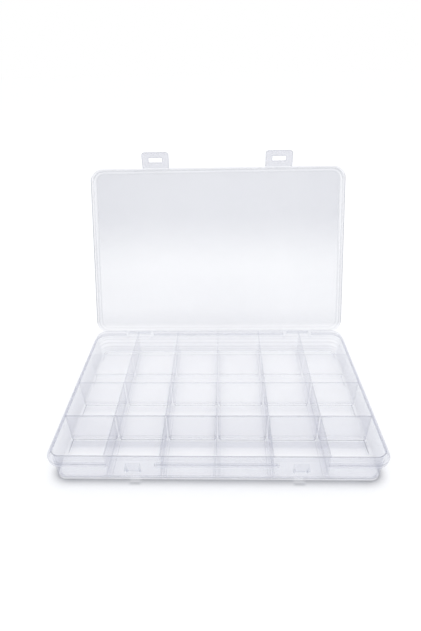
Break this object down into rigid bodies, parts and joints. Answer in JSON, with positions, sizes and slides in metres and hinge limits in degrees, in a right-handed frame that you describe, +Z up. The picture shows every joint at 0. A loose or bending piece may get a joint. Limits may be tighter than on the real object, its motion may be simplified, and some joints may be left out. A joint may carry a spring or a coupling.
{
  "type": "embroidery thread box",
  "caption": "Flat clear plastic thread box with a grid of coved bobbin cells, a hinged lid standing open and fold-down latch tabs.",
  "frame": {"origin": "centre of the tray's flat underside, on the surface that it stands on", "axes": "+X along the width towards the right-hand cells, +Y from the latch side to the hinge side, +Z up; the lid is drawn standing open on its stop"},
  "size_m": [0.3456, 0.3333, 0.2552],
  "materials": {
    "clear_tray": "clear natural polypropylene, smooth, faintly blue grey",
    "clear_divider": "clear natural polypropylene, smooth, darker at the rounded tops",
    "clear_lid": "clear natural polypropylene, polished panel",
    "clear_fitting": "clear natural polypropylene, a little milky where thick"
  },
  "bodies": {
    "tray": {"tray_shell": "clear_tray", "long_divider_1": "clear_divider", "long_divider_2": "clear_divider", "long_divider_3": "clear_divider", "long_divider_4": "clear_divider", "long_divider_5": "clear_divider", "front_divider_1": "clear_divider", "front_divider_2": "clear_divider", "front_divider_3": "clear_divider", "front_divider_4": "clear_divider", "front_divider_5": "clear_divider", "front_divider_6": "clear_divider", "middle_divider_1": "clear_divider", "middle_divider_2": "clear_divider", "middle_divider_3": "clear_divider", "middle_divider_4": "clear_divider", "middle_divider_5": "clear_divider", "middle_divider_6": "clear_divider", "rear_divider_1": "clear_divider", "rear_divider_2": "clear_divider", "rear_divider_3": "clear_divider", "rear_divider_4": "clear_divider", "rear_divider_5": "clear_divider", "rear_divider_6": "clear_divider", "catch_left": "clear_fitting", "catch_right": "clear_fitting", "hinge_bracket_left": "clear_fitting", "hinge_bracket_right": "clear_fitting"},
    "lid": {"lid_panel": "clear_lid", "lid_skirt": "clear_lid", "hinge_knuckle_left": "clear_fitting", "hinge_knuckle_right": "clear_fitting", "living_hinge_left": "clear_fitting", "living_hinge_right": "clear_fitting"},
    "left_latch": {"latch_left": "clear_fitting"},
    "right_latch": {"latch_right": "clear_fitting"}
  },
  "joints": [
    {"name": "lid_hinge", "type": "hinge", "parent": "tray", "child": "lid", "pos_m": [0, 0.1132, 0.0307], "axis": [1, 0, 0], "range_deg": [0, 115]},
    {"name": "left_latch_fold", "type": "hinge", "parent": "lid", "child": "left_latch", "pos_m": [-0.084, 0.21588, 0.23362], "axis": [1, 0, 0], "range_deg": [-25, 65], "stiffness_Nm_per_rad": 0.01},
    {"name": "right_latch_fold", "type": "hinge", "parent": "lid", "child": "right_latch", "pos_m": [0.084, 0.21588, 0.23362], "axis": [1, 0, 0], "range_deg": [-25, 65], "stiffness_Nm_per_rad": 0.01}
  ]
}
